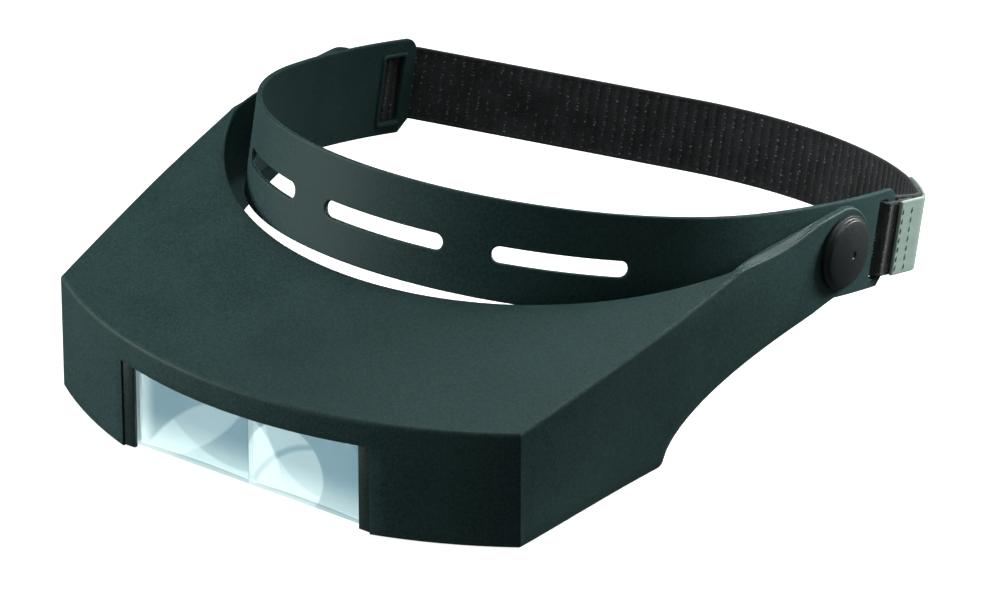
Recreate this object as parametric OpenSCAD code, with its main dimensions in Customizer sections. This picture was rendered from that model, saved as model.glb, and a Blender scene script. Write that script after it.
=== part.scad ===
// Head visor magnifier: a moulded visor with a pair of lenses in its front window, hung by two
// friction pivots on a slotted headband that a webbing strap closes behind the head.
// X runs to the wearer's left, Y from the forehead to the back of the head, Z up.
// The visor stands on its lower rim, at Z = 0.

/* [Visor] */
// Half width of the visor at its two front corners
corner_x = 92; // [80:0.5:105]
// Radius of the bowed front wall, seen from above
front_r = 160; // [120:1:260]
// Height of the front wall, from the rim to the top edge
wall_h = 39.4; // [30:0.2:50]
// Thickness of the visor moulding
wall_t = 2.4; // [1.6:0.1:3.5]
// Rise of the top plate towards the head, in degrees
plate_slope = 11.5; // [5:0.5:20]
// Drop of the top plate from its middle line to the front corners
plate_arch = 5.9; // [2:0.1:10]
// How far the side walls spread between the front corners and the pivot arms
side_spread = 12.5; // [6:0.5:20]
// Inward lean of the lower edge of a side wall, half way along
side_lean = 5.5; // [0:0.5:8]
// Length of the level lower edge of a side wall
rim_len = 70.5; // [50:0.5:90]
// Radius of the head opening in the top plate
opening_r = 110; // [100:1:125]
// Distance from the line of the front corners to the head opening
opening_y = 35; // [25:0.5:45]
// Radius of the rounded end of a pivot arm
arm_r = 14.8; // [14:0.2:20]

/* [Window] */
// Half width of the window in the front wall
window_x = 49.5; // [40:0.5:60]
// Height of the window above the rim
window_h = 30.5; // [24:0.5:33]

/* [Lenses] */
// Width of one lens, from the middle seam to its outer edge
lens_w = 46; // [38:0.5:52]
// Height of a lens
lens_h = 34; // [28:0.5:35]
// Thickness of a lens at its optical centre
lens_t = 6.4; // [4:0.1:8]
// Radius of the bulging rear face of a lens
lens_r = 125; // [80:1:200]
// Distance of an optical centre from the middle seam
lens_axis_x = 20; // [10:1:32]

/* [Pivots] */
// Distance of the pivot axis behind the front corners
pivot_y = 155.6; // [140:0.2:175]
// Height of the pivot axis above the rim
pivot_z = 45; // [38:0.2:55]
// Radius of the hollow stub that carries an arm
stub_r = 5; // [3:0.1:7]
// Radius of a pivot cap
cap_r = 12.4; // [9:0.2:14]

/* [Headband] */
// Height of the headband strip
band_h = 33; // [26:0.5:40]
// Thickness of the headband strip
band_t = 1.8; // [1.2:0.1:2.6]
// Radius of the headband round the forehead
band_front_r = 97.5; // [85:0.5:105]
// Radius of the headband along the sides of the head
band_side_r = 260; // [180:5:400]
// Half width of the headband, outside
band_x = 100.2; // [92:0.2:105]
// Upward tilt of the front of the headband, in degrees
band_tilt = 13.1; // [0:0.5:20]
// Distance from the middle of the headband frame to its rear ends
band_end_y = 53; // [45:0.5:65]
// Height of the three forehead slots
vent_h = 5.5; // [4:0.5:8]
// Half length of the middle slot between its round ends, in degrees round the forehead
vent_half = 11.9; // [8:0.1:15]
// Near and far ends of the outer slots from the middle one's centre, in degrees
vent_near = 24.6; // [20:0.1:30]
vent_far = 47.2; // [35:0.1:55]
// Turn of the slot pattern towards the wearer's left, in degrees
vent_turn = 2.6; // [0:0.1:5]
// Length of the opening that the strap runs through at the left rear end
strap_slot_l = 5; // [4.5:0.5:12]
// Length of the opening at the right rear end, which the fixed end of the strap covers
anchor_slot_l = 10.5; // [6:0.5:12]

/* [Strap] */
// Width of the webbing
webbing_w = 25.4; // [20:0.2:30]
// Thickness of the webbing
webbing_t = 1.6; // [1:0.1:2.4]
// Thickness of the hook tape
tape_t = 1.2; // [0.8:0.1:2]
// Length of the hook tape that lies on the back run of the strap
tape_lap = 20; // [12:1:60]

/* [Hidden] */
$fn = 96;
run_gap = 0.06;
piece_gap = 0.1;

// Visor
arc_c = sqrt(front_r * front_r - corner_x * corner_x);
bulge = front_r - arc_c;
open_c = opening_y + opening_r;
flat_y = 138;
spread_y = 85;
arm_x = corner_x + side_spread;
meet_y = 100;
meet_x = arm_x - wall_t - 1.8;
// Part of the lower sweep's rise that comes late, near the arm end
sweep_ease = 1.7;
// Short rise of an arm's upper edge where it leaves the plate, and its length
arm_step = 1.9;
arm_step_l = 6;

// Window and lenses
lens_y = -19;
lens_z = 1;
flange_t = 2;
guide_x = 45;
guide_h = 35;

// Headband frame: its middle point and the arcs of the strip
band_y = 139.7;
band_z = 47.3;
band_c = -2.5;
side_c = band_x - band_side_r;
side_y = band_c + sqrt(pow(band_side_r - band_front_r, 2) - side_c * side_c);
blend_u = (band_c - side_y) / (band_side_r - band_front_r);
vent_w = -1.3;
slot_y1 = band_end_y - 5.5;
slot_y0 = slot_y1 - strap_slot_l;
slot_h = webbing_w + 1;
// Height range of the right opening about the middle of the strip
anchor_w0 = -12.1;
anchor_w1 = 10.7;

// Pivot stack, outwards from the headband
boss_x = arm_x - wall_t - 0.9;
boss_root_x = band_x - band_t / 2 - 0.4;
stub_x = arm_x + 0.1;
cap_x = arm_x + 0.2;
cap_t = 2.6;
dome_t = 1.8;
stem_r = stub_r / 2;

// Strap path in the headband frame
back_c = [27, 10];
back_r = 92;
run_a = 23.5;
out_x = 100.45;
in_x = 96.0;
turn_r = (out_x - in_x) / 2;
tape_x = out_x + webbing_t / 2 + piece_gap + tape_t / 2;
seam_y = 51.6;

// The whole object is centred front to back
back_y = band_y + (back_c[1] + back_r + webbing_t / 2) * cos(band_tilt) + webbing_w / 2 * sin(band_tilt);
mid_y = (back_y - bulge) / 2;

plastic = [0.10, 0.15, 0.14];
band_colour = [0.12, 0.18, 0.17];
cap_colour = [0.08, 0.10, 0.10];
lens_colour = [0.80, 0.90, 0.92, 0.45];
fabric = [0.07, 0.08, 0.09];
tape_colour = [0.52, 0.66, 0.60];
thread_colour = [0.16, 0.19, 0.19];

module in_place() translate([0, -mid_y, 0]) children();
module band_frame() in_place() translate([0, band_y, band_z]) rotate([-band_tilt, 0, 0]) children();
// Lies along +X from the pivot axis; side is 1 for the wearer's left and -1 for the right
module on_pivot(side) in_place() translate([0, pivot_y, pivot_z]) rotate([0, side * 90, 0]) children();

// ---- visor shell ----

// Height of the top plate above the rim
function plate_z(x, y) = wall_h + tan(plate_slope) * (y + bulge) - plate_arch * pow(x / corner_x, 2);
// Outline of the side walls at the top
function top_x(y) =
    corner_x + side_spread * (1 - exp(-max(0, min(y, flat_y)) / spread_y)) / (1 - exp(-flat_y / spread_y));
// Lower edge: level, then an elliptic sweep up to the round arm end
function low_z(y) =
    y <= rim_len ? 0 :
    y <= pivot_y
    ? (pivot_z - arm_r - sweep_ease) * sqrt(1 - pow((pivot_y - y) / (pivot_y - rim_len), 2))
      + sweep_ease * pow((y - rim_len) / (pivot_y - rim_len), 3) :
    pivot_z - sqrt(arm_r * arm_r - pow(y - pivot_y, 2));
// Upper inside edge of the arms
function arm_z(y) =
    y <= pivot_y
    ? plate_z(meet_x, meet_y) + arm_step * (1 - exp((meet_y - y) / arm_step_l))
      + (pivot_z + arm_r - plate_z(meet_x, meet_y) - arm_step) * pow((y - meet_y) / (pivot_y - meet_y), 2)
    : pivot_z + sqrt(arm_r * arm_r - pow(y - pivot_y, 2));
// Middle line of a side wall between its leaning top and bottom edges
function side_x(y) = top_x(y) - side_lean / 2 * sin(180 * max(0, min(y, flat_y)) / flat_y);

// Plan of the moulding, drawn in by d: the bowed front between the two side walls
module shell_plan(d) {
    ys = [0, 8, 18, 30, 42, 56, 70, 86, 104, 122, flat_y];
    intersection() {
        translate([0, arc_c]) circle(r = front_r - d, $fn = 256);
        polygon(concat(
            [[corner_x - d, -60]], [for (y = ys) [side_x(y) - d, y]], [[arm_x - d, 185 + d]],
            [[d - arm_x, 185 + d]], [for (i = [len(ys) - 1 : -1 : 0]) [d - side_x(ys[i]), ys[i]]],
            [[d - corner_x, -60]]));
    }
}
// Everything below the arched top plate, lowered by d
module below_plate(d) {
    r = corner_x * corner_x / (2 * plate_arch * cos(plate_slope));
    translate([0, -bulge, wall_h]) rotate([plate_slope, 0, 0])
        translate([0, -40, -r - d]) rotate([-90, 0, 0]) cylinder(r = r, h = 300, $fn = 256);
}
// Side view: level rim, sweep up to the arm, round arm end, upper edge of the arm
module shell_side() polygon(concat(
    [[-60, 0], [rim_len, 0]],
    [for (y = [71, 72.5, 75, 79, 84, 90, 98, 108, 119, 131, 143]) [y, low_z(y)]],
    [for (a = [-90 : 10 : 90]) [pivot_y + arm_r * cos(a), pivot_z + arm_r * sin(a)]],
    [for (y = [143, 131, 119, 111, 106, 102, meet_y]) [y, arm_z(y)]],
    [[meet_y, 95], [-60, 95]]));

module visor_shell() color(plastic) in_place() difference() {
    intersection() {
        translate([0, 0, -1]) linear_extrude(height = 100) shell_plan(0);
        below_plate(0);
        translate([-130, 0, 0]) rotate([90, 0, 90]) linear_extrude(height = 260) shell_side();
    }
    // Hollow underside and head opening, inside the side walls
    intersection() {
        translate([0, 0, -5]) linear_extrude(height = 120) shell_plan(wall_t);
        union() {
            below_plate(wall_t);
            translate([0, open_c, -10]) cylinder(r = opening_r, h = 130, $fn = 256);
        }
    }
    // Window, open at the rim
    translate([-window_x, -bulge - 5, -1]) cube([2 * window_x, 25, window_h + 1]);
    // Pivot hole in each arm
    for (side = [-1, 1])
        translate([side * (arm_x - wall_t / 2), pivot_y, pivot_z])
            rotate([0, 90, 0]) cylinder(r = stub_r + run_gap, h = 3 * wall_t, center = true);
}

// ---- lenses and their guides ----

// Upright channel beside the window: the lens edge stands in its groove
// Its front lip fills the window and ends under the header
module lens_guide() difference() {
    flange_y = lens_y - 0.2;
    back = lens_y + flange_t + 0.2;
    translate([0, 0, 0.5]) linear_extrude(height = guide_h) polygon([
        [guide_x, flange_y], [lens_w + 0.25, flange_y], [lens_w + 0.25, back],
        [guide_x + 0.3, back], [guide_x + 0.3, back + 1.6], [window_x + 1.6, back + 1.6],
        [window_x + 6, back + 1.6], [window_x + 6, back + 0.5],
        [window_x + 0.1, lens_y + 0.6], [window_x - 0.2, lens_y + 0.4],
        [window_x - 0.2, flange_y - 1.5], [guide_x, flange_y - 1.5]
    ]);
    translate([0, 0, window_h - 0.2]) linear_extrude(height = 10) difference() {
        translate([guide_x - 3, -40]) square([15, 30]);
        translate([0, arc_c]) circle(r = front_r - wall_t - 0.15, $fn = 256);
    }
}
module lens_guide_left() color(plastic) in_place() lens_guide();
module lens_guide_right() color(plastic) in_place() mirror([1, 0, 0]) lens_guide();

// One lens: flat in front, bulging behind, with a thin flange along its outer edge
module lens() difference() {
    intersection() {
        translate([0.05, lens_y, lens_z]) cube([lens_w - 0.05, lens_t + 1, lens_h]);
        translate([lens_axis_x, lens_y + lens_t - lens_r, lens_z + lens_h / 2]) sphere(r = lens_r, $fn = 256);
    }
    translate([guide_x - 0.3, lens_y + flange_t, lens_z - 1]) cube([5, lens_t + 2, lens_h + 2]);
}
module lens_left() color(lens_colour) in_place() lens();
module lens_right() color(lens_colour) in_place() mirror([1, 0, 0]) lens();

// ---- headband ----

// Plan of the strip's outline, drawn in by d: a forehead arc between two long side arcs
function band_line(d) =
    let (
        r = band_front_r - d, s = band_side_r - d,
        a1 = asin((band_end_y + 2 - side_y) / s), a0 = asin(blend_u),
        side = [for (i = [0 : 8]) let (a = a1 + (a0 - a1) * i / 8) [side_c + s * cos(a), side_y + s * sin(a)]],
        front = [for (i = [1 : 49]) let (a = (90 - asin(-blend_u)) * (1 - i / 25)) [r * sin(a), band_c - r * cos(a)]]
    )
    concat(side, front, [for (i = [8 : -1 : 0]) [-side[i][0], side[i][1]]]);
// Side view of the strip: rounded upper and bevelled lower rear corner
module band_side() {
    h = band_h / 2;
    round_r = 5;
    difference() {
        polygon([[-120, -h], [band_end_y - 4.5, -h], [band_end_y, -h + 4.5], [band_end_y, h], [-120, h]]);
        difference() {
            translate([band_end_y - round_r, h - round_r]) square(round_r + 1);
            translate([band_end_y - round_r, h - round_r]) circle(r = round_r);
        }
    }
}
module band_strip() intersection() {
    translate([0, 0, -band_h / 2 - 1]) linear_extrude(height = band_h + 2)
        polygon(concat(band_line(0), [for (i = [len(band_line(0)) - 1 : -1 : 0]) band_line(band_t)[i]]));
    translate([-120, 0, 0]) rotate([90, 0, 90]) linear_extrude(height = 240) band_side();
}
// A forehead slot between two angles round the strip, with round ends
module vent(a0, a1) translate([0, band_c, vent_w]) {
    linear_extrude(height = vent_h, center = true) polygon([
        for (i = [0 : 6]) let (a = a0 + (a1 - a0) * i / 6) 115 * [sin(a), -cos(a)],
        for (i = [6 : -1 : 0]) let (a = a0 + (a1 - a0) * i / 6) 85 * [sin(a), -cos(a)]
    ]);
    for (a = [a0, a1])
        rotate([0, 0, a]) translate([0, -85, 0]) rotate([90, 0, 0]) cylinder(r = vent_h / 2 + 0.04, h = 30);
}
// Low lip inside the strip, on three sides of an opening of length l between the heights w0 and w1
module slot_lip(side, l, w0, w1) {
    lip = 1.3;
    x0 = side > 0 ? 97.1 : -98.6;
    translate([x0, slot_y1 - l - lip, w0 - lip]) cube([1.5, lip, w1 - w0 + 2 * lip]);
    for (w = [w0 - lip, w1])
        translate([x0, slot_y1 - l - lip, w]) cube([1.5, l + lip, lip]);
}
module headband() color(band_colour) {
    difference() {
        union() {
            band_frame() {
                band_strip();
                slot_lip(1, strap_slot_l, -slot_h / 2, slot_h / 2);
                slot_lip(-1, anchor_slot_l, anchor_w0, anchor_w1);
            }
            for (side = [-1, 1]) on_pivot(side) {
                translate([0, 0, boss_root_x]) cylinder(r = cap_r - 1, h = boss_x - boss_root_x);
                translate([0, 0, boss_x - 0.1]) cylinder(r = stub_r, h = stub_x - boss_x + 0.1);
            }
        }
        band_frame() {
            vent(vent_turn - vent_half, vent_turn + vent_half);
            vent(vent_turn + vent_near, vent_turn + vent_far);
            vent(vent_turn - vent_far, vent_turn - vent_near);
            translate([90, slot_y0, -slot_h / 2]) cube([20, strap_slot_l, slot_h]);
            translate([-110, slot_y1 - anchor_slot_l, anchor_w0])
                cube([20, anchor_slot_l, anchor_w1 - anchor_w0]);
        }
        for (side = [-1, 1]) on_pivot(side)
            translate([0, 0, band_x - 0.6]) cylinder(r = stem_r, h = 20);
    }
}

// ---- pivots ----

// Domed cap with a stem that is pressed into the hollow stub
module pivot_cap(side) color(cap_colour) on_pivot(side) {
    dome_r = (pow(cap_r - 0.6, 2) + dome_t * dome_t) / (2 * dome_t);
    difference() {
        union() {
            translate([0, 0, cap_x]) cylinder(r = cap_r, h = cap_t);
            intersection() {
                translate([0, 0, cap_x + cap_t + dome_t - dome_r]) sphere(r = dome_r, $fn = 128);
                translate([0, 0, cap_x + cap_t - 0.01]) cylinder(r = cap_r - 0.6, h = dome_t + 1);
            }
            translate([0, 0, band_x - 0.3]) cylinder(r = stem_r, h = cap_x - band_x + 0.5);
        }
        // Shallow moulding dimple
        translate([0, 0, cap_x + cap_t + dome_t - 0.4]) cylinder(r = 1.5, h = 1);
    }
}
module pivot_cap_left() pivot_cap(1);
module pivot_cap_right() pivot_cap(-1);

module friction_washer(side) color(cap_colour) on_pivot(side) difference() {
    translate([0, 0, boss_x + 0.05]) cylinder(r = cap_r - 1, h = 0.7);
    translate([0, 0, boss_x - 1]) cylinder(r = stub_r + 0.1, h = 3);
}
module friction_washer_left() friction_washer(1);
module friction_washer_right() friction_washer(-1);

// ---- strap ----

// Points of an arc about c, from angle a0 to a1 in n steps
function arc(c, r, a0, a1, n) = [for (i = [0 : n]) let (a = a0 + (a1 - a0) * i / n) c + r * [cos(a), sin(a)]];
// Unit normal of a path at point i
function normal(p, i) =
    let (
        a = p[max(0, i - 1)], b = p[i], c = p[min(len(p) - 1, i + 1)],
        u = i > 0 ? (b - a) / norm(b - a) : (c - b) / norm(c - b),
        v = i < len(p) - 1 ? (c - b) / norm(c - b) : u,
        m = (u + v) / norm(u + v)
    )
    [-m[1], m[0]] / max(0.5, m * u);
// A ribbon of thickness t along a path, seen from above
module ribbon(p, t) polygon(concat(
    [for (i = [0 : len(p) - 1]) p[i] + normal(p, i) * t / 2],
    [for (i = [len(p) - 1 : -1 : 0]) p[i] - normal(p, i) * t / 2]));
module standing(t) translate([0, 0, -webbing_w / 2]) linear_extrude(height = webbing_w) children();

bend_y = 55;
webbing_path = concat(
    // Right end, lying outside over its opening and the end bar
    [[-101.1, 35.5], [-101.0, 40], [-100.75, 44], [-out_x - 0.05, 47.5]],
    [[-out_x, bend_y - 1.6], [-out_x + 0.5, bend_y - 0.2]],
    // Back run
    [[-out_x + 1.9, bend_y + 0.9]],
    arc(back_c, back_r, 90 + run_a, 40, 24),
    // Corner, down the inside of the left end bar, round its front edge and back outside
    [[98.6, 67.6], [99.0, 66.2], [98.8, 64.8], [in_x, 54.4]],
    arc([out_x - turn_r, slot_y1 - 0.2], turn_r, 180, 360, 8),
    [[out_x, 60]]);
tape_path = concat(
    [[tape_x, seam_y], [tape_x, 64.6], [tape_x - 0.5, 66.4]],
    arc(back_c, back_r + webbing_t / 2 + piece_gap + tape_t / 2, 38.8, 38.8 + tape_lap / back_r * 57.3, 6));

module strap_webbing() color(fabric) band_frame() standing() ribbon(webbing_path, webbing_t);
module hook_tape() color(tape_colour) band_frame() standing() ribbon(tape_path, tape_t);

// A row of stitches up the strap
module stitch_row(x, y) for (i = [-3 : 3]) translate([x, y, i * 3.2 - 0.6]) cube([0.4, 0.6, 2.1], center = true);
module seam_stitches() color(thread_colour) band_frame()
    for (y = [53.2, 58.4]) stitch_row(tape_x + tape_t / 2 + 0.22, y);
module hem_stitches() color(thread_colour) band_frame()
    stitch_row(-100.93 + webbing_t / 2 + 0.22, 41.2);

visor_shell();
lens_guide_left();
lens_guide_right();
lens_left();
lens_right();
headband();
pivot_cap_left();
pivot_cap_right();
friction_washer_left();
friction_washer_right();
strap_webbing();
hook_tape();
seam_stitches();
hem_stitches();
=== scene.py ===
"""Head visor magnifier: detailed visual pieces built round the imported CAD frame.

Lengths in the helpers are millimetres, measured back from the visor's front corners; place() turns
them into the row frame in metres.
"""

from math import asin, atan2, ceil, cos, exp, pi, radians, sin, sqrt, tan

import bmesh
import bpy
import numpy as np
from mathutils import Matrix, Vector, geometry


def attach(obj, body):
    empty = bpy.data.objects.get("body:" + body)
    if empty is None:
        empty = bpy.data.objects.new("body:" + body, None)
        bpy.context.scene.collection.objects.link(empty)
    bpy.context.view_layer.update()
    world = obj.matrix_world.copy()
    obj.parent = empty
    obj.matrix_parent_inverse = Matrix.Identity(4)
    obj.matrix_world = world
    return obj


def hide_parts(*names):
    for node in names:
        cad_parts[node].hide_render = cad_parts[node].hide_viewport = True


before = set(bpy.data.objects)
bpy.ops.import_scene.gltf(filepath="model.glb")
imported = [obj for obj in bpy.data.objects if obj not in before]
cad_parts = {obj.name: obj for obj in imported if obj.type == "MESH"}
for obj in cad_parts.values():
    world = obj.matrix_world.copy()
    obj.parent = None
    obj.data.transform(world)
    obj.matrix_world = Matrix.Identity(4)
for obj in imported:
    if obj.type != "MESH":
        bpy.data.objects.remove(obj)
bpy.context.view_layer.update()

# ---------------------------------------------------------------- shared measures, in mm
CORNER_X, FRONT_R, WALL_H, WALL_T = 92.0, 160.0, 39.4, 2.4
SLOPE, ARCH, SPREAD, SPREAD_Y, LEAN, RIM = radians(11.5), 5.9, 12.5, 85.0, 5.5, 70.5
OPEN_R, OPEN_C, FLAT_Y, ARM_R = 110.0, 145.0, 138.0, 14.8
PIVOT_Y, PIVOT_Z, CAP_R = 155.6, 45.0, 12.4
WINDOW_X, WINDOW_H = 49.5, 30.5
ARC_C = sqrt(FRONT_R**2 - CORNER_X**2)
BULGE = FRONT_R - ARC_C
TILT = radians(13.1)
BAND_Y, BAND_Z, WEB_W = 139.7, 47.3, 25.4
BACK_C, BACK_R = (27.0, 10.0), 92.0
MID = (BAND_Y + (BACK_C[1] + BACK_R + 0.8) * cos(TILT) + WEB_W / 2 * sin(TILT) - BULGE) / 2


def place(p):
    """Millimetres to metres in the row frame."""
    return (p[0] / 1000, (p[1] - MID) / 1000, p[2] / 1000)


def band_point(x, y, w):
    """A point of the tilted band: x and y in its plan, w across its width."""
    return (x, BAND_Y + y * cos(TILT) + w * sin(TILT), BAND_Z - y * sin(TILT) + w * cos(TILT))


def lerp(a, b, f):
    return tuple(p + (q - p) * f for p, q in zip(a, b))


def gap(a, b):
    """Distance between two flat points."""
    return np.hypot(b[0] - a[0], b[1] - a[1])


def make(name, points, faces, angle=42, marks=None, vectors=None, recalc=True):
    """A mesh object from points in mm, smooth but for edges sharper than angle."""
    mesh = bpy.data.meshes.new(name)
    mesh.from_pydata([place(p) for p in points], [], faces)
    if marks is not None:
        mesh.attributes.new("edge", "FLOAT", "POINT").data.foreach_set("value", np.array(marks, np.float32))
    if vectors is not None:
        data = mesh.attributes.new("strip", "FLOAT_VECTOR", "POINT").data
        data.foreach_set("vector", np.array(vectors, np.float32).reshape(-1))
    if recalc:
        bm = bmesh.new()
        bm.from_mesh(mesh)
        bmesh.ops.recalc_face_normals(bm, faces=bm.faces[:])
        bm.to_mesh(mesh)
        bm.free()
    mesh.validate()
    obj = bpy.data.objects.new(name, mesh)
    bpy.context.scene.collection.objects.link(obj)
    smooth(obj, angle)
    return obj


def smooth(obj, angle):
    mesh = obj.data
    mesh.polygons.foreach_set("use_smooth", [True] * len(mesh.polygons))
    mesh.set_sharp_from_angle(angle=radians(angle))
    mesh.update()


def round_edges(bm, edges, size):
    """Rounds these edges by size, in mm."""
    bmesh.ops.bevel(bm, geom=edges, offset=size / 1000, segments=2, profile=0.5, affect="EDGES",
                    clamp_overlap=True)


def boolean(obj, tool, operation):
    """Applies one exact boolean and removes its tool."""
    mod = obj.modifiers.new("join", "BOOLEAN")
    mod.operation, mod.solver, mod.object = operation, "EXACT", tool
    bpy.context.view_layer.update()
    graph = bpy.context.evaluated_depsgraph_get()
    mesh = bpy.data.meshes.new_from_object(obj.evaluated_get(graph))
    obj.modifiers.remove(mod)
    old = obj.data
    obj.data = mesh
    bpy.data.meshes.remove(old)
    bpy.data.objects.remove(tool, do_unlink=True)


def lathe(name, profile, side, steps=96, marks=None, closed=True):
    """A profile of (radius, x) turned round the pivot axis; side 1 is the wearer's left."""
    n = len(profile)
    points, flags, faces = [], [], []
    for i in range(steps):
        a = 2 * pi * i / steps
        for k, (r, x) in enumerate(profile):
            points.append((side * x, PIVOT_Y + r * cos(a), PIVOT_Z + r * sin(a)))
            flags.append(marks[k] if marks else 0.0)
    last = n if closed else n - 1
    for i in range(steps):
        j = (i + 1) % steps
        for k in range(last):
            m = (k + 1) % n
            faces.append((i * n + k, i * n + m, j * n + m, j * n + k))
    return make(name, points, faces, marks=flags)


# ---------------------------------------------------------------- materials
def material(name):
    mat = bpy.data.materials.new(name)
    mat.use_nodes = True
    tree = mat.node_tree
    tree.nodes.clear()
    out = tree.nodes.new("ShaderNodeOutputMaterial")
    shader = tree.nodes.new("ShaderNodeBsdfPrincipled")
    tree.links.new(shader.outputs[0], out.inputs[0])
    return mat, tree, shader


def node(tree, kind, inputs=None, **props):
    n = tree.nodes.new(kind)
    for key, value in props.items():
        setattr(n, key, value)
    for key, value in (inputs or {}).items():
        if isinstance(value, bpy.types.NodeSocket):
            tree.links.new(value, n.inputs[key])
        else:
            n.inputs[key].default_value = value
    return n


def noise(tree, where, scale, detail=2.0, rough=0.5, seed=0.0):
    inputs = {"Vector": where, "Scale": scale, "Detail": detail, "Roughness": rough, "W": seed}
    return node(tree, "ShaderNodeTexNoise", inputs, noise_dimensions="4D").outputs["Fac"]


def calc(tree, operation, a, b=0.0, clamp=False):
    return node(tree, "ShaderNodeMath", {0: a, 1: b}, operation=operation, use_clamp=clamp).outputs[0]


def span(tree, value, a, b, c=0.0, d=1.0):
    inputs = {0: value, 1: a, 2: b, 3: c, 4: d}
    return node(tree, "ShaderNodeMapRange", inputs, clamp=True, interpolation_type="SMOOTHSTEP").outputs[0]


def mix(tree, f, a, b, blend="MIX"):
    n = node(tree, "ShaderNodeMix", data_type="RGBA", blend_type=blend)
    for key, value in ((0, f), (6, a), (7, b)):
        if isinstance(value, bpy.types.NodeSocket):
            tree.links.new(value, n.inputs[key])
        elif key == 0:
            n.inputs[0].default_value = value
        else:
            n.inputs[key].default_value = (*value, 1.0)
    return n.outputs[2]


def bump(tree, height, strength, distance, normal=None):
    inputs = {"Height": height, "Strength": strength, "Distance": distance}
    if normal is not None:
        inputs["Normal"] = normal
    return node(tree, "ShaderNodeBump", inputs).outputs[0]


def moulded(name, dark, light, wear, rough, grain=1.0, gloss=0.5):
    """Injection-moulded plastic: eroded grain, soft mottling, rubbed edges and a little dust."""
    mat, tree, shader = material(name)
    where = node(tree, "ShaderNodeTexCoord").outputs["Object"]
    cloud = noise(tree, where, 38, 3, 0.55)
    mottle = noise(tree, where, 1150, 2, 0.6, 1.0)
    fine = noise(tree, where, 3300, 2, 0.5, 2.0)
    pits = node(tree, "ShaderNodeTexVoronoi", {"Vector": where, "Scale": 2100.0}).outputs["Distance"]
    tone = calc(tree, "ADD", calc(tree, "MULTIPLY", span(tree, cloud, 0.3, 0.7), 0.28),
                calc(tree, "MULTIPLY", span(tree, mottle, 0.34, 0.66), 0.72))
    colour = mix(tree, tone, dark, light)
    dust = span(tree, noise(tree, where, 620, 1, 0.5, 5.0), 0.735, 0.77, 0.0, 0.22)
    colour = mix(tree, dust, colour, wear)
    rub = node(tree, "ShaderNodeAttribute", attribute_name="edge").outputs["Fac"]
    patches = noise(tree, where, 210, 3, 0.6, 3.0)
    rub = calc(tree, "MULTIPLY", rub, span(tree, patches, 0.3, 0.75, 0.02, 0.26))
    colour = mix(tree, rub, colour, wear)
    tree.links.new(colour, shader.inputs["Base Color"])
    r = span(tree, mottle, 0.3, 0.7, rough - 0.06, rough + 0.07)
    r = calc(tree, "ADD", r, span(tree, cloud, 0.3, 0.7, -0.03, 0.03))
    r = calc(tree, "SUBTRACT", r, calc(tree, "MULTIPLY", rub, 0.12), True)
    tree.links.new(r, shader.inputs["Roughness"])
    shader.inputs["Specular IOR Level"].default_value = gloss
    shader.inputs["IOR"].default_value = 1.5
    relief = calc(tree, "ADD", calc(tree, "MULTIPLY", fine, 0.55), calc(tree, "MULTIPLY", pits, 0.45))
    n = bump(tree, noise(tree, where, 26, 2, 0.5, 4.0), 0.06, 0.0005)
    n = bump(tree, mottle, 0.16 * grain, 0.00009, n)
    n = bump(tree, relief, 0.42 * grain, 0.00007, n)
    tree.links.new(n, shader.inputs["Normal"])
    return mat


GREEN_DARK, GREEN_LIGHT, GREEN_WORN = (0.013, 0.043, 0.041), (0.034, 0.081, 0.077), (0.070, 0.118, 0.112)
shell_mat = moulded("shell_plastic", GREEN_DARK, GREEN_LIGHT, GREEN_WORN, 0.58, 1.0, 0.24)
band_mat = moulded("band_plastic", GREEN_DARK, GREEN_LIGHT, GREEN_WORN, 0.58, 0.9, 0.24)
guide_mat = moulded("guide_plastic", (0.014, 0.030, 0.028), (0.024, 0.048, 0.044), (0.07, 0.11, 0.10),
                    0.42, 0.6, 0.4)
cap_mat = moulded("cap_plastic", (0.012, 0.018, 0.018), (0.020, 0.028, 0.027), (0.06, 0.08, 0.075),
                  0.44, 0.7, 0.4)
washer_mat = moulded("washer_nylon", (0.035, 0.042, 0.042), (0.06, 0.07, 0.07), (0.2, 0.22, 0.21), 0.35, 0.4)


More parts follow.
